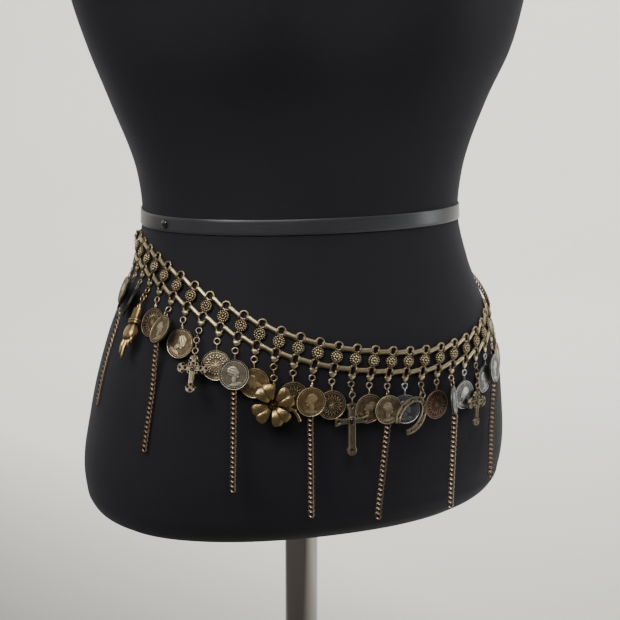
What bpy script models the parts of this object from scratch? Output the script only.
"""Chain belt of rosette links with coins, charms and hanging curb chains, worn low on the hips of
a limbless dress form that stands on a pole and a round base.

Units are metres and +Z is up. The origin is the middle of the base's underside. The form faces -Y,
so +X is its left side. Angles of turn are in degrees.
"""
import math

import bmesh
import bpy
import numpy as np
from mathutils import Matrix, Vector

# Stand. DATUM is the height that the form's levels and the belt's line are measured from.
DATUM = 0.300
POLE_RADIUS = 0.014
POLE_SIDES = 20
SOCKET_RADIUS = 0.038
SOCKET_THICK = 0.008
HUB_TOP = 0.040
BASE_SIDES = 32
# radius, height: the base's outer side from the rim of its underside up to the hub's top
BASE_PROFILE = (
    (0.1500, 0.0000),
    (0.1500, 0.0090),
    (0.0900, 0.0145),
    (0.0240, 0.0200),
    (0.0204, HUB_TOP),
)
GAP = 0.0003
FLAT_ANGLE = 0.003
SHARP_ANGLE = 35.0

# Form. Each row is one level: height above the datum, half width, depth to the front, depth to the back
FORM_LEVELS = np.array((
    (0.013, 0.155, 0.080, 0.108),
    (0.019, 0.166, 0.090, 0.119),
    (0.033, 0.178, 0.102, 0.125),
    (0.046, 0.181, 0.107, 0.129),
    (0.110, 0.177, 0.118, 0.123),
    (0.170, 0.163, 0.124, 0.116),
    (0.230, 0.139, 0.114, 0.110),
    (0.265, 0.131, 0.109, 0.108),
    (0.300, 0.134, 0.109, 0.109),
    (0.360, 0.156, 0.114, 0.112),
    (0.400, 0.1735, 0.1225, 0.107),
    (0.440, 0.1865, 0.1225, 0.1105),
    (0.520, 0.200, 0.118, 0.114),
    (0.565, 0.203, 0.108, 0.110),
    (0.605, 0.193, 0.092, 0.102),
    (0.635, 0.160, 0.075, 0.091),
    (0.658, 0.110, 0.063, 0.078),
    (0.680, 0.073, 0.056, 0.066),
    (0.735, 0.059, 0.051, 0.058),
))
SQUARENESS = 2.15
FORM_SIDES = 32
FORM_RINGS = (
    0.013, 0.018, 0.030, 0.048, 0.083, 0.120, 0.160, 0.195, 0.228, 0.2605, 0.2745, 0.310, 0.350,
    0.395, 0.445, 0.495, 0.545, 0.585, 0.617, 0.640, 0.660, 0.685, 0.735,
)
BUST_RISE = 0.017
BUST_SPREAD = 0.072
BUST_WIDTH = 0.048
BUST_HEIGHT = 0.455
BUST_TALL = 0.060
# radius, height above the neck: the cap's outer side
CAP_PROFILE = (
    (0.0570, 0.0000),
    (0.0570, 0.0080),
    (0.0300, 0.0140),
    (0.0000, 0.0158),
)
CAP_SIDES = 20

# Waist tape and its press stud
TAPE_BOTTOM = 0.2615
TAPE_RISE = 0.0038
TAPE_WIDTH = 0.0120
TAPE_THICK = 0.0008
STUD_TURN = 198.0
STUD_RADIUS = 0.0034
STUD_THICK = 0.0016
STUD_TAPER = 0.7

# Line of the rosettes: height above the datum as mean + waves round the section's turn
LINE_MEAN = 0.2180
LINE_COS = -0.0160
LINE_SIN = 0.0400
LINE_COS2 = 0.0085
LINE_SIN2 = 0.0090
PITCH = 0.01545
FIRST_LINK = -1
LAST_LINK = 25
LINK_ZERO = -0.218
LINKS_PER_STRIP = 3
SEAT = 0.0005
# Share of the line's slope that the plates keep: they hang partly plumb
PLUMB = 0.6
# link, degrees: how far the plates' feet lean towards +X besides, in between them by even steps
PLATE_LEANS = np.array((
    (-1, 4.0), (4, 3.0), (7, 5.0), (9, 0.0), (12, -6.0), (17, -8.0), (20, -13.0), (22, -17.0), (25, -20.0),
))

# Link plate, from the rosette's centre: u along the belt, v up, thickness outwards
PLATE_THICK = 0.0014
RING_V = 0.0083
RING_RADIUS = 0.0039
RING_HOLE = (0.0024, 0.0025)
ROSETTE_RADIUS = 0.0050
ROSETTE_FOOT = 0.0044
ROSETTE_TOP = 0.0029
ROSETTE_RISE = 0.0017
LOOP_V = -0.0090
LOOP_HOLE = (0.0021, 0.0033)
BAIL_TIP = -0.0166
# u, v: the plate's right side from the ring's middle down to the bail's tip
PLATE_SIDE = (
    (RING_RADIUS, RING_V),
    (0.0033, 0.0044),
    (ROSETTE_RADIUS, 0.0000),
    (0.0033, -0.0042),
    (0.0038, -0.0064),
    (0.0037, -0.0108),
    (0.0031, -0.0134),
    (0.0024, -0.0150),
    (0.0010, BAIL_TIP),
)
BAR_HIGH = 0.0042
BAR_THICK = 0.0012
BAR_CLEAR = 0.0003
BAR_ROWS = (0.0071, -0.0084)
BAR_INSET = 0.0028

# Pendants, from the bail's tip downwards
WIRE = 0.0012
JUMP_RADIUS = 0.0029
JUMP_DROP = 0.0082
CONNECTOR = (0.0010, 0.0054, 0.0020)
CONNECTOR_DROP = 0.0020
COIN_RADIUS = 0.0116
COIN_THICK = 0.0015
COIN_DROP = 0.0212
COIN_SIDES = 14
BACK_LIFT = 0.0006
FRONT_LIFT = 0.0036
FORWARD = 0.0022
CHAIN_WIDE = 0.0050
CHAIN_THICK = 0.0019
CHAIN_STEP = 0.0052
CHAIN_STEPS = 16
CHAIN_TURN = 60.0
CHAIN_LIFT = 0.0024
CHAIN_OVER = 0.0028
CHAIN_CLEAR = 0.0180
CHAIN_TOP = -COIN_DROP - 0.0100
CHAIN_SLANT = 0.985
CHAIN_EASE = 0.0002
REST_FROM = 0.006

# By link: pendants that hang to one side, coins turned about their plumb line, pendants held further
# off the form, chains that lean to one side and chains with fewer or more steps
SWAY = {-1: -6.0, 0: 12.0, 1: 10.0, 2: 12.0, 3: 8.0, 4: 6.0, 5: 4.0, 6: 2.0, 12: -4.0, 18: -9.0, 20: -15.0,
        22: -5.0, 23: -5.0, 24: -12.0}
COIN_TWIST = {0: -20.0, 1: -24.0, 4: -20.0, 17: -24.0, 20: 38.0}
EXTRA_LIFT = {0: -0.0016, 2: -0.0010, 18: 0.0040, 20: 0.0012, 22: -0.0010, 24: -0.0012}
CHAIN_LEAN = {0: -3.0, 4: -9.0, 8: -1.5, 12: 1.0, 16: -5.0}
CHAIN_MORE = {0: -1, 4: 1, 16: -1, 20: -1}
CHARMS = {2: "hand", 6: "ornate_cross", 10: "clover", 14: "stone_cross", 18: "horseshoe",
          22: "ornate_cross"}

# Charms. Each hangs in its rings' plane with its top at CHARM_TOP, or a ring lower at ORNATE_TOP.
CHARM_TOP = -2 * JUMP_DROP + 0.0012
CHARM_THICK = 0.0018
STONE_CROSS_MIDDLE = CHARM_TOP - 0.0163
# across, up from the middle: the right side from the top down to the foot
STONE_CROSS_SIDE = (
    (0.0016, 0.0145),
    (0.0042, 0.0130),
    (0.0042, 0.0105),
    (0.0031, 0.0080),
    (0.0031, 0.0022),
    (0.0085, 0.0022),
    (0.0138, 0.0037),
    (0.0138, -0.0037),
    (0.0085, -0.0022),
    (0.0031, -0.0022),
    (0.0031, -0.0205),
    (0.0042, -0.0230),
    (0.0036, -0.0258),
    (0.0014, -0.0275),
)
STONE_CROSS_HOLES = ((0.0000, 0.0112), (0.0110, 0.0000), (-0.0110, 0.0000), (0.0000, -0.0236))
STONE_CROSS_HOLE = (0.0011, 0.0012)
STONE = (0.0022, 0.0030, 0.0026)
ORNATE_TOP = CHARM_TOP - JUMP_DROP
ORNATE_MIDDLE = ORNATE_TOP - 0.0095
ORNATE_REACH = ((0.0, 0.0125), (90.0, 0.0100), (180.0, 0.0125), (270.0, 0.0190))
# reach along the arm, or back from its tip, and half width: one side of a lobe
ORNATE_BODY = (0.0042, 0.0026)
ORNATE_LOBE = ((0.0055, 0.0021), (0.0044, 0.0046), (0.0020, 0.0038))
ORNATE_WINDOW_AT = 0.0025
ORNATE_WINDOW = 0.0009
ORNATE_BOSS = (0.0020, 0.0012, 0.0020)
SHOE_OUTER = (0.0120, 0.0176)
SHOE_INNER = (0.0072, 0.0130)
SHOE_HOLES = (0.0096, 0.0153)
SHOE_HOLE = 0.0007
SHOE_HOLE_TURNS = (-28, 12, 52, 128, 168, 208)
SHOE_OPENING = (238.0, -58.0)
SHOE_THICK = 0.0020
SHOE_TILT = -42.0
LEAF_REACH = 0.0165
LEAF_TURN = -15.0
LEAF_SIDES = 32
CLOVER_MIDDLE = (-0.0010, -2 * JUMP_DROP - 0.0152)
# share of the reach, height: the leaves' section
LEAF_SECTION = ((1.0, -0.0008), (0.95, 0.0012), (0.60, 0.0034))
LEAF_HOLLOW = 0.0012
STEM = ((0.0040, -0.0008, 0.0006), (0.0120, -0.0022, 0.0016), (0.0176, -0.0068, 0.0016),
        (0.0203, -0.0130, 0.0012))
STEM_WIRE = 0.0010
CLOVER_BAIL = (0.0016, 0.0110, 0.0016)
# size, drop of the centre below the top: the hand's loop, its cuff, the cuff's ridge and the hand's back
HAND_LOOP = ((0.0030, 0.0060, 0.0020), 0.0030)
CUFF = ((0.0090, 0.0098, 0.0050), 0.0089)
CUFF_RIDGE = ((0.0112, 0.0040, 0.0068), 0.0154)
PALM = ((0.0064, 0.0094, 0.0046), 0.0248)
HAND_LIFT = 0.0010
# across, length, lean: the fingers
FINGERS = ((-0.0038, 0.0148, -7.0), (-0.0009, 0.0182, -2.0), (0.0020, 0.0090, 3.0), (0.0042, 0.0066, 8.0))
FINGER_DROP = 0.0276
FINGER_WIRE = (0.0011, 0.0018)

# Closing at the back
BACK_CHAIN_STEP = 0.0070
BACK_CHAIN_WIDE = 0.0048
BACK_CHAIN_THICK = 0.0018
BACK_CHAIN_LIFT = 0.0030
HOOK_WIRE = 0.0010
HOOK_LENGTH = 0.0190
# back along the line, up: the hook's wire
HOOK_BENDS = ((0.0, 0.0), (0.0100, 0.0), (0.0160, 0.0010), (0.0185, 0.0035), (0.0165, 0.0060),
              (0.0120, 0.0062))

SQUARE = ((1, 1), (-1, 1), (-1, -1), (1, -1))

COLOURS = {
    "jersey": ((0.012, 0.012, 0.015), 0.85, 0.0),
    "satin": ((0.016, 0.017, 0.020), 0.35, 0.0),
    "chrome": ((0.62, 0.60, 0.58), 0.22, 1.0),
    "steel": ((0.50, 0.49, 0.48), 0.35, 1.0),
    "bronze": ((0.42, 0.34, 0.21), 0.38, 1.0),
    "dark_bronze": ((0.30, 0.22, 0.15), 0.42, 1.0),
    "coin_bronze": ((0.38, 0.31, 0.20), 0.42, 1.0),
}


def clear_scene():
    for block in (bpy.data.objects, bpy.data.meshes, bpy.data.curves, bpy.data.materials):
        for item in list(block):
            block.remove(item)


def material(name, finish):
    """A sub-part's own Principled material in one of the finishes."""
    colour, roughness, metallic = COLOURS[finish]
    made = bpy.data.materials.new("%s_%s" % (name, finish))
    made.use_nodes = True
    shader = made.node_tree.nodes["Principled BSDF"]
    shader.inputs["Base Color"].default_value = (*colour, 1.0)
    shader.inputs["Roughness"].default_value = roughness
    shader.inputs["Metallic"].default_value = metallic
    return made


def place(name, mesh, finish, stand, where=None):
    """Puts a finished mesh in the stand's collection as the named sub-part, at its place on the stand."""
    made = bpy.data.objects.new(name, mesh)
    mesh.name = name
    mesh.materials.clear()
    mesh.materials.append(material(name, finish))
    mesh.shade_smooth()
    mesh.set_sharp_from_angle(angle=math.radians(SHARP_ANGLE))
    stand.users_collection[0].objects.link(made)
    made.parent = stand
    made.matrix_local = where or Matrix()
    return made


def mesh_of(work):
    """Turns a bmesh into mesh data."""
    made = bpy.data.meshes.new("piece")
    work.to_mesh(made)
    work.free()
    return made


def joined(*meshes):
    """One mesh that holds all the given ones as they stand."""
    work = bmesh.new()
    for mesh in meshes:
        work.from_mesh(mesh)
    return mesh_of(work)


def union(first, second):
    """Joins two meshes into one body with an exact Boolean."""
    body = bpy.data.objects.new("body", first)
    tool = bpy.data.objects.new("tool", second)
    for item in (body, tool):
        bpy.context.scene.collection.objects.link(item)
    cut = body.modifiers.new("union", "BOOLEAN")
    cut.operation = "UNION"
    cut.solver = "EXACT"
    cut.object = tool
    made = bpy.data.meshes.new_from_object(body.evaluated_get(bpy.context.evaluated_depsgraph_get()))
    for item in (body, tool):
        bpy.data.objects.remove(item)
    return plain_faces(made)


def plain_faces(mesh):
    """The mesh with its flat neighbouring faces made one, so that a Boolean leaves no needless corners."""
    work = bmesh.new()
    work.from_mesh(mesh)
    bmesh.ops.dissolve_limit(work, angle_limit=FLAT_ANGLE, verts=work.verts, edges=work.edges)
    bmesh.ops.triangulate(work, faces=[face for face in work.faces if len(face.verts) > 4])
    if any(len(edge.link_faces) != 2 for edge in work.edges):
        work.free()
        return mesh
    return mesh_of(work)


def moved(mesh, matrix):
    """A copy of the mesh, carried by the matrix."""
    made = mesh.copy()
    made.transform(matrix)
    return made


def curve_mesh(curve):
    """Makes a curve's solid a mesh and welds its caps."""
    holder = bpy.data.objects.new("curve", curve)
    bpy.context.scene.collection.objects.link(holder)
    made = bpy.data.meshes.new_from_object(holder.evaluated_get(bpy.context.evaluated_depsgraph_get()))
    bpy.data.objects.remove(holder)
    work = bmesh.new()
    work.from_mesh(made)
    bmesh.ops.remove_doubles(work, verts=work.verts, dist=0.000001)
    return mesh_of(work)


def flat_piece(loops, thick):
    """A flat outline with its holes, as thick as given, lying in XY with its middle at Z = 0."""
    curve = bpy.data.curves.new("outline", "CURVE")
    curve.dimensions = "2D"
    curve.fill_mode = "BOTH"
    curve.extrude = thick / 2
    for loop in loops:
        spline = curve.splines.new("POLY")
        spline.points.add(len(loop) - 1)
        for point, (x, y) in zip(spline.points, loop):
            point.co = (x, y, 0.0, 1.0)
        spline.use_cyclic_u = True
    return curve_mesh(curve)


def wire_piece(points, radius):
    """A round wire through the points."""
    curve = bpy.data.curves.new("wire", "CURVE")
    curve.dimensions = "3D"
    curve.bevel_depth = radius
    curve.bevel_resolution = 0
    curve.use_fill_caps = True
    spline = curve.splines.new("POLY")
    spline.points.add(len(points) - 1)
    for point, where in zip(spline.points, points):
        point.co = (*where, 1.0)
    return curve_mesh(curve)


def turned_piece(profile, sides):
    """A solid of revolution: the (radius, height) points from the foot up, turned about Z."""
    work = bmesh.new()
    points = [(0.0, profile[0][1])] + list(profile)
    if profile[-1][0] > 0:
        points.append((0.0, profile[-1][1]))
    corners = [work.verts.new((radius, 0.0, height)) for radius, height in reversed(points)]
    for pair in zip(corners, corners[1:]):
        work.edges.new(pair)
    holder = bpy.data.objects.new("turned", mesh_of(work))
    bpy.context.scene.collection.objects.link(holder)
    screw = holder.modifiers.new("turn", "SCREW")
    screw.steps = sides
    screw.render_steps = sides
    screw.use_merge_vertices = True
    screw.merge_threshold = 0.00001
    made = bpy.data.meshes.new_from_object(holder.evaluated_get(bpy.context.evaluated_depsgraph_get()))
    bpy.data.objects.remove(holder)
    work = bmesh.new()
    work.from_mesh(made)
    bmesh.ops.recalc_face_normals(work, faces=work.faces)
    return mesh_of(work)


def lofted(rings, closed=False):
    """A skin through rings of points, capped at both ends or closed from the last ring to the first."""
    work = bmesh.new()
    corners = [[work.verts.new(point) for point in ring] for ring in rings]
    following = corners[1:] + corners[:1] if closed else corners[1:]
    sides = len(corners[0])
    for lower, upper in zip(corners, following):
        for i in range(sides):
            j = (i + 1) % sides
            work.faces.new((lower[i], lower[j], upper[j], upper[i]))
    if not closed:
        work.faces.new(corners[0][::-1])
        work.faces.new(corners[-1])
    bmesh.ops.recalc_face_normals(work, faces=work.faces)
    return mesh_of(work)


def block(size, centre=(0.0, 0.0, 0.0)):
    """A box of the given size."""
    work = bmesh.new()
    bmesh.ops.create_cube(work, size=1.0, matrix=Matrix.Translation(centre) @ Matrix.Diagonal((*size, 1)))
    return mesh_of(work)


def disc(radius, thick, sides, top=None, centre=(0.0, 0.0, 0.0)):
    """A round plate or frustum about Z."""
    work = bmesh.new()
    bmesh.ops.create_cone(work, cap_ends=True, segments=sides, radius1=radius,
                          radius2=radius if top is None else top, depth=thick,
                          matrix=Matrix.Translation(centre))
    return mesh_of(work)


def ball(size, columns, rows, centre=(0.0, 0.0, 0.0)):
    """An ellipsoid with the given half sizes."""
    work = bmesh.new()
    bmesh.ops.create_uvsphere(work, u_segments=columns, v_segments=rows, radius=1.0,
                              matrix=Matrix.Translation(centre) @ Matrix.Diagonal((*size, 1)))
    return mesh_of(work)


def ring_piece(radius, wire, centre, columns=6, rows=3):
    """A wire ring lying in XY."""
    bpy.ops.mesh.primitive_torus_add(major_segments=columns, minor_segments=rows,
                                     major_radius=radius - wire / 2, minor_radius=wire / 2,
                                     location=centre, rotation=(0, 0, math.pi / 2))
    holder = bpy.context.object
    made = holder.data.copy()
    made.transform(holder.matrix_world)
    bpy.data.objects.remove(holder)
    return made


def arc(centre, radii, start, end, count):
    """Points on an ellipse from one angle to the other, both included."""
    turns = np.radians(np.linspace(start, end, count))
    return [(centre[0] + radii[0] * math.cos(a), centre[1] + radii[1] * math.sin(a)) for a in turns]


def round_hole(centre, radii, sides):
    """A closed ellipse for a hole."""
    return arc(centre, radii, 0.0, 360.0 - 360.0 / sides, sides)


def level(height, column):
    """A column of FORM_LEVELS at any height, on a smooth curve through the rows."""
    rows = FORM_LEVELS[:, 0]
    values = FORM_LEVELS[:, column]
    slopes = np.gradient(values, rows)
    spot = np.clip(np.searchsorted(rows, height) - 1, 0, len(rows) - 2)
    span = rows[spot + 1] - rows[spot]
    f = np.clip((height - rows[spot]) / span, 0.0, 1.0)
    return ((1 + 2 * f) * (1 - f) ** 2 * values[spot] + f * (1 - f) ** 2 * span * slopes[spot]
            + f * f * (3 - 2 * f) * values[spot + 1] + f * f * (f - 1) * span * slopes[spot + 1])


def bust(x, height):
    """How far the bust stands forward of the plain section."""
    sides = np.exp(-((x - BUST_SPREAD) / BUST_WIDTH) ** 2) + np.exp(-((x + BUST_SPREAD) / BUST_WIDTH) ** 2)
    return BUST_RISE * sides * np.exp(-((height - BUST_HEIGHT) / BUST_TALL) ** 2)


def form_points(turn, height):
    """Points of the form's skin. turn runs from 0 at +X through a quarter at the back."""
    turn, height = np.broadcast_arrays(np.asarray(turn, float), np.asarray(height, float))
    front, back = level(height, 2), level(height, 3)
    across, along = np.cos(turn), np.sin(turn)
    power = 2.0 / SQUARENESS
    x = level(height, 1) * np.sign(across) * np.abs(across) ** power
    y = (back - front) / 2 + (front + back) / 2 * np.sign(along) * np.abs(along) ** power
    y = y - bust(x, height) * np.clip(-along, 0.0, 1.0)
    return np.stack([x, y, height + DATUM], -1)


def skin(points):
    """A measure that is 0 on the skin and grows outwards."""
    height = points[..., 2] - DATUM
    front, back = level(height, 2), level(height, 3)
    middle, depth = (back - front) / 2, (front + back) / 2
    x, y = points[..., 0], points[..., 1]
    power = SQUARENESS
    return (np.abs(x / level(height, 1)) ** power + np.abs((y - middle) / depth) ** power) ** (1 / power) - 1


def slope(points):
    """Gradient of the skin measure."""
    step = 0.0002
    sides = []
    for axis in range(3):
        shift = np.zeros(3)
        shift[axis] = step
        sides.append((skin(points + shift) - skin(points - shift)) / (2 * step))
    return np.stack(sides, -1)


def clearance(points):
    """Distance of points from the form's skin, to first order."""
    return skin(points) / np.linalg.norm(slope(points), axis=-1)


def belt_line():
    """Turn, points and length along the rosettes' line, from half a turn left of the front."""
    turn = np.linspace(-1.5 * math.pi, 0.5 * math.pi, 4001)
    height = (LINE_MEAN + LINE_COS * np.cos(turn) + LINE_SIN * np.sin(turn)
              + LINE_COS2 * np.cos(2 * turn) + LINE_SIN2 * np.sin(2 * turn))
    points = form_points(turn, height)
    steps = np.linalg.norm(np.diff(points, axis=0), axis=1)
    length = np.concatenate([[0.0], np.cumsum(steps)])
    return turn, points, length - np.interp(-math.pi / 2, turn, length)


BELT_TURN, BELT_POINTS, BELT_LENGTH = belt_line()


def frame(origin, along, out):
    """A matrix whose X is along, whose Z is out and whose Y is up between them."""
    out = Vector(out).normalized()
    up = out.cross(Vector(along)).normalized()
    along = up.cross(out)
    made = Matrix((along, up, out)).transposed().to_4x4()
    made.translation = Vector(origin)
    return made


def belt_frame(length, lift, kept=1.0):
    """The frame on the belt's line at a length from the front, lifted off the skin.

    kept is the share of the line's slope that the frame's X keeps.
    """
    here = np.array([np.interp(length, BELT_LENGTH, BELT_POINTS[:, i]) for i in range(3)])
    ahead = np.array([np.interp(length + 0.001, BELT_LENGTH, BELT_POINTS[:, i]) for i in range(3)])
    out = slope(here)
    out = out / np.linalg.norm(out)
    return frame(here + out * lift, (ahead - here) * (1.0, 1.0, kept), out)


def corner_points(mesh):
    """A mesh's corners as an array."""
    flat = np.empty(len(mesh.vertices) * 3)
    mesh.vertices.foreach_get("co", flat)
    return flat.reshape(-1, 3)


def carried(points, matrix):
    """Points carried by a matrix."""
    turned = np.array(matrix)
    return points @ turned[:3, :3].T + turned[:3, 3]


def link_length(link):
    """Length along the belt's line from the front to a link's rosette."""
    return LINK_ZERO + PITCH * link


def plate_mesh():
    """One cast link: ring, rosette, slotted loop and bail in one flat piece with a domed middle."""
    top = arc((0, RING_V), (RING_RADIUS, RING_RADIUS), 45.0, 135.0, 3)
    outline = top + [(-x, y) for x, y in PLATE_SIDE] + list(reversed(PLATE_SIDE))
    holes = [round_hole((0, RING_V), RING_HOLE, 6), round_hole((0, LOOP_V), LOOP_HOLE, 6)]
    plate = flat_piece([outline] + holes, PLATE_THICK)
    dome = disc(ROSETTE_FOOT, ROSETTE_RISE + 0.0004, 6, ROSETTE_TOP,
                (0, 0, PLATE_THICK / 2 + ROSETTE_RISE / 2 - 0.0002))
    return union(plate, dome)


def plate_frames(plate):
    """A frame for each link, each plate lifted just clear of the form."""
    corners = corner_points(plate)
    frames = {}
    for link in range(FIRST_LINK, LAST_LINK + 1):
        lift = 0.0
        lean = math.radians(np.interp(link, PLATE_LEANS[:, 0], PLATE_LEANS[:, 1]))
        for _ in range(6):
            here = belt_frame(link_length(link), lift, PLUMB) @ Matrix.Rotation(lean, 4, "Z")
            lift += SEAT - clearance(carried(corners, here)).min()
        frames[link] = here
    return frames


def bar_mesh(start, end, row):
    """A flat bar between two neighbouring plates, its ends inside their rims."""
    work = bmesh.new()
    bmesh.ops.create_cube(work, size=1.0)
    for corner in work.verts:
        side = 1.0 if corner.co.x < 0 else -1.0
        near = start if corner.co.x < 0 else end
        local = Vector((side * BAR_INSET, row + corner.co.y * BAR_HIGH, corner.co.z * BAR_THICK))
        corner.co = near @ local
    return mesh_of(work)


def strip_mesh(plate, frames, links):
    """A stretch of the band: its plates and the bars between them, and on to the next stretch."""
    plates = joined(*[moved(plate, frames[link]) for link in links])
    bars = []
    for link in links:
        if link + 1 not in frames:
            continue
        for row in BAR_ROWS:
            inside = link + 1 in links
            bars.append(bar_mesh(frames[link], frames[link + 1] if inside else
                                 stopped(frames[link + 1]), row))
    return union(plates, joined(*bars)) if bars else plates


def stopped(next_frame):
    """The next plate's frame moved back, so that a bar to it stops just short of its rim."""
    back = RING_RADIUS + GAP + BAR_CLEAR - BAR_INSET
    return next_frame @ Matrix.Translation((-back, 0, 0))


def hinge_frame(plate_frame):
    """Level frame at the foot of a bail: X along the form, Y up and Z outwards."""
    tip = plate_frame @ Vector((0, BAIL_TIP - GAP, 0))
    out = slope(np.array(tip))
    out[2] = 0.0
    out = Vector(out).normalized()
    return frame(tip, Vector((0, 0, 1)).cross(out), out)


def swayed(mesh, link):
    """The pendant turned to one side about the bail's foot."""
    mesh.transform(Matrix.Rotation(math.radians(SWAY.get(link, 0.0)), 4, "Z"))
    return mesh


def seated(mesh, hinge, lift):
    """The hinge's frame tilted outwards until the pendant clears the form by its lift."""
    corners = corner_points(mesh)
    depth = np.clip((-corners[:, 1] - REST_FROM) / REST_FROM, 0.0, 1.0)
    needed = SEAT + (lift - SEAT) * depth
    low, high = 0.0, math.radians(70.0)
    if (clearance(carried(corners, hinge)) - needed).min() > 0:
        return hinge
    for _ in range(30):
        tilt = (low + high) / 2
        here = hinge @ Matrix.Rotation(-tilt, 4, "X")
        if (clearance(carried(corners, here)) - needed).min() > 0:
            high = tilt
        else:
            low = tilt
    return hinge @ Matrix.Rotation(-high, 4, "X")


def hanging_rings(count, forward):
    """Jump rings one below the other, and the small upright links that join them and end the row.

    forward is how far what hangs below the first ring stands in front of it.
    """
    rings, links = [], []
    for row in range(count):
        foot = -2 * JUMP_RADIUS - row * JUMP_DROP
        stand = forward if row else 0.0
        reach = forward - stand
        rings.append(ring_piece(JUMP_RADIUS, WIRE, (0, foot + JUMP_RADIUS, stand)))
        size = (CONNECTOR[0], CONNECTOR[1], CONNECTOR[2] + reach)
        links.append(block(size, (0, foot - CONNECTOR_DROP, stand + reach / 2)))
    return joined(*rings), joined(*links)


def coin_mesh(twist, forward):
    """A coin on its jump ring and upright link."""
    rings, links = hanging_rings(1, forward)
    coin = disc(COIN_RADIUS, COIN_THICK, COIN_SIDES)
    turn = Matrix.Rotation(math.radians(twist), 4, "Y")
    coin.transform(Matrix.Translation((0, -COIN_DROP, forward)) @ turn)
    return union(joined(rings, coin), links)


def resting_reach(out, spots, lift):
    """How far outwards each spot moves until it clears the form by the lift."""
    low, high = np.full(len(spots), -0.06), np.full(len(spots), 0.06)
    for _ in range(30):
        middle = (low + high) / 2
        clear = clearance(spots + out * middle[:, None]) > lift
        low, high = np.where(clear, low, middle), np.where(clear, middle, high)
    return high


def chain_path(seat, link):
    """Points from a coin's foot in to the form by easy steps, down it, then plumb where it turns in."""
    along = np.array(seat.col[0][:3])
    out = np.cross(along, (0.0, 0.0, 1.0))
    sway = Matrix.Rotation(math.radians(SWAY.get(link, 0.0)), 4, "Z")
    foot = np.array(seat @ sway @ Vector((0, CHAIN_TOP, FORWARD)))
    drop = np.arange(CHAIN_STEPS + CHAIN_MORE.get(link, 0) + 1) * CHAIN_STEP * CHAIN_SLANT
    lean = math.tan(math.radians(CHAIN_LEAN.get(link, 0.0)))
    spots = foot + along * (lean * drop)[:, None]
    spots[:, 2] = foot[2] - drop
    lift = CHAIN_LIFT + CHAIN_OVER * np.clip(1 - drop / CHAIN_CLEAR, 0.0, 1.0)
    reach = resting_reach(out, spots, lift)
    reach[0] = 0.0
    reach[1:] = np.maximum.accumulate(reach[1:])
    reach = np.maximum(reach, -CHAIN_EASE * np.arange(len(reach)))
    return spots + out * reach[:, None], along, out


def strand_mesh(points, along, out):
    """A curb chain's strand along the points, whose flat section turns from one to the next."""
    rings = []
    for number, point in enumerate(points):
        angle = math.radians(CHAIN_TURN * number)
        a = along * math.cos(angle) + out * math.sin(angle)
        b = out * math.cos(angle) - along * math.sin(angle)
        rings.append([point + a * CHAIN_WIDE / 2 * p + b * CHAIN_THICK / 2 * q for p, q in SQUARE])
    return lofted(rings)


def coin_chain_mesh(coin, seat, link):
    """A front coin joined with the chain that hangs from its foot, in the coin's own frame."""
    path, along, out = chain_path(seat, link)
    strand = strand_mesh(path, along, out)
    strand.transform(seat.inverted())
    return union(coin, strand)


def charm_on_rings(body, count=2):
    """A charm, modelled in the rings' plane, joined below its jump rings."""
    rings, links = hanging_rings(count, FORWARD)
    body.transform(Matrix.Translation((0, 0, FORWARD)))
    return union(joined(rings, body), links)


def stone_cross_mesh():
    """A long cross with flared ends, a hole in each end and a domed oval stone in the middle."""
    right = [(x, STONE_CROSS_MIDDLE + up) for x, up in STONE_CROSS_SIDE]
    outline = right + [(-x, y) for x, y in reversed(right)]
    holes = [round_hole((x, STONE_CROSS_MIDDLE + up), STONE_CROSS_HOLE, 4) for x, up in STONE_CROSS_HOLES]
    stone = ball(STONE, 6, 4, (0, STONE_CROSS_MIDDLE, CHARM_THICK / 2 - GAP))
    return charm_on_rings(union(flat_piece([outline] + holes, CHARM_THICK), stone))


def lobe(turn, tip):
    """One arm of the ornate cross: its outline from the body out round the tip and back."""
    side = [ORNATE_BODY] + [(tip - back, half) for back, half in ORNATE_LOBE]
    shape = [(reach, -half) for reach, half in side] + [(tip, 0.0)]
    shape += [(reach, half) for reach, half in reversed(side)]
    spin = Matrix.Rotation(math.radians(turn), 2)
    return [tuple(Vector((0.0, ORNATE_MIDDLE)) + spin @ Vector(spot)) for spot in shape]


def ornate_cross_mesh():
    """A pierced cross with lobed ends, four windows round its middle and a small boss."""
    outline = [point for turn, tip in ORNATE_REACH for point in lobe(turn, tip)]
    windows = [round_hole((ORNATE_WINDOW_AT * p, ORNATE_MIDDLE + ORNATE_WINDOW_AT * q),
                          (ORNATE_WINDOW, ORNATE_WINDOW), 4) for p, q in SQUARE]
    foot, top, tall = ORNATE_BOSS
    boss = disc(foot, tall, 6, top, (0, ORNATE_MIDDLE, CHARM_THICK / 2 + tall / 4))
    return charm_on_rings(union(flat_piece([outline] + windows, CHARM_THICK), boss), 3)


def horseshoe_mesh():
    """A horseshoe hung from its crown, open at the foot, with nail holes down both arms."""
    crown = (0.0, -SHOE_OUTER[1])
    first, last = SHOE_OPENING
    outline = arc(crown, SHOE_OUTER, last, first, 13) + arc(crown, SHOE_INNER, first + 4.0, last - 4.0, 11)
    holes = [round_hole(arc(crown, SHOE_HOLES, turn, turn, 1)[0], (SHOE_HOLE, SHOE_HOLE), 4)
             for turn in SHOE_HOLE_TURNS]
    shoe = flat_piece([outline] + holes, SHOE_THICK)
    shoe.transform(Matrix.Translation((0, CHARM_TOP, 0)) @ Matrix.Rotation(math.radians(SHOE_TILT), 4, "Z")
                   @ Matrix.Translation((0, CONNECTOR_DROP / 2, 0)))
    return charm_on_rings(shoe)


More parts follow.
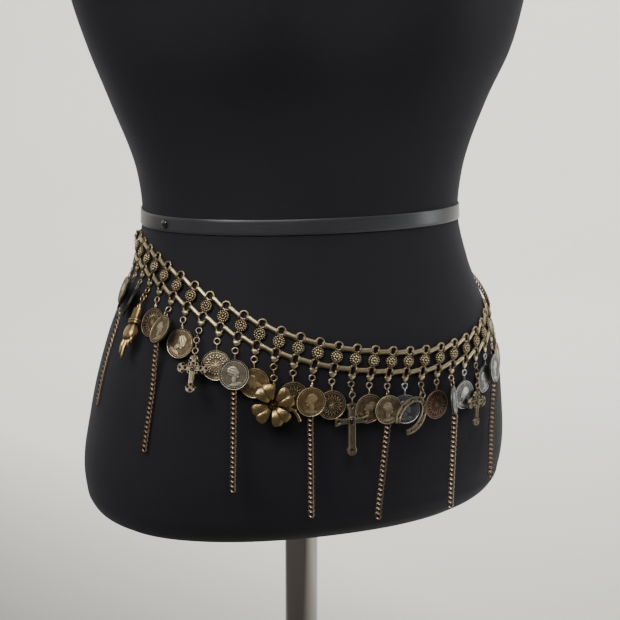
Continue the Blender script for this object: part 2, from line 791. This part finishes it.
def clover_mesh():
    """A four-leafed clover of domed double lobes with a bent stem, hung by a bail at its top notch."""
    middle = Vector((*CLOVER_MIDDLE, 0.0))
    turns = np.arange(LEAF_SIDES) * math.tau / LEAF_SIDES
    from_leaf = (np.degrees(turns) - LEAF_TURN) % 90.0 - 45.0
    notch = 0.62 * np.exp(-((np.abs(from_leaf) - 45.0) / 9.0) ** 2) + 0.10 * np.exp(-(from_leaf / 8.0) ** 2)
    reach = LEAF_REACH * (1 - notch)
    round_leaf = np.stack([np.cos(turns) * reach, np.sin(turns) * reach, np.zeros(LEAF_SIDES)], 1)
    loops = []
    for share, height in LEAF_SECTION:
        lift = height * (reach / LEAF_REACH) ** 0.7 if height > 0 else np.full(LEAF_SIDES, height)
        loops.append(np.array(middle) + round_leaf * share + np.outer(lift, (0.0, 0.0, 1.0)))
    hollow = np.array(middle) + (0.0, 0.0, LEAF_HOLLOW) + round_leaf * GAP
    leaves = lofted([[Vector(point) for point in loop] for loop in loops + [hollow]])
    stem = wire_piece([middle + Vector(spot) for spot in STEM], STEM_WIRE)
    bail = block(CLOVER_BAIL, (0, CHARM_TOP - CLOVER_BAIL[1] / 2, PLATE_THICK / 2))
    return charm_on_rings(union(union(leaves, stem), bail))


def hand_mesh():
    """A small cuffed hand that points down, two fingers out and two folded."""
    body = block(CUFF[0], (0, CHARM_TOP - CUFF[1], HAND_LIFT))
    for size, drop in (HAND_LOOP, CUFF_RIDGE):
        body = union(body, block(size, (0, CHARM_TOP - drop, HAND_LIFT)))
    body = union(body, ball(PALM[0], 8, 5, (0, CHARM_TOP - PALM[1], HAND_LIFT)))
    down = Matrix.Rotation(math.radians(-90), 4, "X")
    for across, length, lean in FINGERS:
        finger = disc(FINGER_WIRE[0], length, 5, FINGER_WIRE[1])
        finger.transform(Matrix.Translation((across, CHARM_TOP - FINGER_DROP - length / 2, HAND_LIFT))
                         @ Matrix.Rotation(math.radians(lean), 4, "Z") @ down)
        body = union(body, finger)
    return charm_on_rings(body)


CHARM_MESHES = {"stone_cross": stone_cross_mesh, "ornate_cross": ornate_cross_mesh,
                "horseshoe": horseshoe_mesh, "clover": clover_mesh, "hand": hand_mesh}


def form_turns():
    """The turns of the form's corners round one level."""
    return np.arange(FORM_SIDES) * math.tau / FORM_SIDES


def torso_mesh():
    """The form's closed body, lofted through its rings with a flat foot and a flat neck."""
    return lofted([form_points(form_turns(), height) for height in FORM_RINGS])


def tape_level(turn):
    """Height of the tape's lower edge: level round the back, a little higher at the front."""
    return TAPE_BOTTOM + TAPE_RISE * np.clip(-np.sin(turn), 0.0, 1.0)


def tape_mesh():
    """The closed waist tape, a thin band just clear of the form."""
    turns = form_turns()
    inside, outside = 2 * GAP, 2 * GAP + TAPE_THICK
    rings = []
    for up, lift in ((0.0, inside), (0.0, outside), (TAPE_WIDTH, outside), (TAPE_WIDTH, inside)):
        points = form_points(turns, tape_level(turns) + up)
        rings.append(points + level_out(points) * lift)
    return lofted(rings, closed=True)


def level_out(points):
    """The skin's outward direction, kept level."""
    out = slope(points) * (1.0, 1.0, 0.0)
    return out / np.linalg.norm(out, axis=-1, keepdims=True)


def stud_place():
    """The frame of the press stud's cap on the tape."""
    turn = math.radians(STUD_TURN)
    spot = form_points(turn, tape_level(turn) + TAPE_WIDTH / 2)
    out = level_out(spot)
    return frame(spot + out * (4 * GAP + TAPE_THICK + STUD_THICK / 2), (-out[1], out[0], 0), out)


def back_chain_mesh():
    """The plain adjusting chain round the back, from past the last plate to the hook."""
    whole = BELT_LENGTH[-1] - BELT_LENGTH[0]
    start = link_length(LAST_LINK) + PITCH / 2
    end = whole + link_length(FIRST_LINK) - PITCH / 2 - HOOK_LENGTH
    rings = []
    for number, length in enumerate(np.linspace(start, end, int((end - start) / BACK_CHAIN_STEP) + 1)):
        here = belt_frame((length - BELT_LENGTH[0]) % whole + BELT_LENGTH[0], BACK_CHAIN_LIFT)
        tall, deep = BACK_CHAIN_WIDE, BACK_CHAIN_THICK
        if number % 2:
            tall, deep = deep, tall
        rings.append([here @ Vector((0, p * tall / 2, q * deep / 2)) for p, q in SQUARE])
    return lofted(rings)


def hook_mesh():
    """The wire hook that takes the adjusting chain at the first plate."""
    start = link_length(FIRST_LINK) - PITCH / 2
    return wire_piece([belt_frame(start - back, BACK_CHAIN_LIFT) @ Vector((0, up, 0))
                       for back, up in HOOK_BENDS], HOOK_WIRE)


def build_stand(stand):
    """The base, the pole and the form with its tape."""
    foot, neck = DATUM + FORM_LEVELS[0][0], DATUM + FORM_LEVELS[-1][0]
    place("base", turned_piece(BASE_PROFILE, BASE_SIDES), "steel", stand)
    low, high = HUB_TOP + GAP, foot - SOCKET_THICK - 2 * GAP
    pole = disc(POLE_RADIUS, high - low, POLE_SIDES)
    place("pole", pole, "chrome", stand, Matrix.Translation((0, 0, (low + high) / 2)))
    socket = disc(SOCKET_RADIUS, SOCKET_THICK, POLE_SIDES)
    place("socket", socket, "steel", stand, Matrix.Translation((0, 0, foot - GAP - SOCKET_THICK / 2)))
    place("torso", torso_mesh(), "jersey", stand)
    cap = turned_piece(CAP_PROFILE, CAP_SIDES)
    place("neck_cap", cap, "satin", stand, Matrix.Translation((0, 0, neck + GAP)))
    place("waist_tape", tape_mesh(), "satin", stand)
    stud = disc(STUD_RADIUS, STUD_THICK, 10, STUD_RADIUS * STUD_TAPER)
    place("tape_stud", stud, "satin", stand, stud_place())


def build_band(stand, plate, frames):
    """The band of plates in its stretches, with the chain and hook that close it."""
    links = list(frames)
    stretches = len(links) // LINKS_PER_STRIP
    for number in range(stretches):
        first = number * LINKS_PER_STRIP
        last = first + LINKS_PER_STRIP if number + 1 < stretches else len(links)
        place("band_%02d" % (number + 1), strip_mesh(plate, frames, links[first:last]), "bronze", stand)
    place("back_chain", back_chain_mesh(), "dark_bronze", stand)
    place("hook", hook_mesh(), "bronze", stand)


def build_pendants(stand, frames):
    """Under each plate a charm, a front coin with a chain or a coin behind them."""
    for link, plate_frame in frames.items():
        hinge = hinge_frame(plate_frame)
        number = link - FIRST_LINK + 1
        twist = COIN_TWIST.get(link, 0.0)
        lift = FRONT_LIFT + EXTRA_LIFT.get(link, 0.0)
        if link in CHARMS:
            mesh = swayed(CHARM_MESHES[CHARMS[link]](), link)
            place("%s_%02d" % (CHARMS[link], number), mesh, "bronze", stand, seated(mesh, hinge, lift))
        elif link % 4 == 0:
            coin = swayed(coin_mesh(twist, FORWARD), link)
            seat = seated(coin, hinge, lift)
            place("coin_chain_%02d" % number, coin_chain_mesh(coin, seat, link), "dark_bronze", stand, seat)
        else:
            mesh = swayed(coin_mesh(twist, 0.0), link)
            place("coin_%02d" % number, mesh, "coin_bronze", stand, seated(mesh, hinge, BACK_LIFT))


def build():
    clear_scene()
    parts = bpy.data.collections.new("belt_on_form")
    bpy.context.scene.collection.children.link(parts)
    stand = bpy.data.objects.new("stand", None)
    parts.objects.link(stand)
    plate = plate_mesh()
    frames = plate_frames(plate)
    build_stand(stand)
    build_band(stand, plate, frames)
    build_pendants(stand, frames)


build()
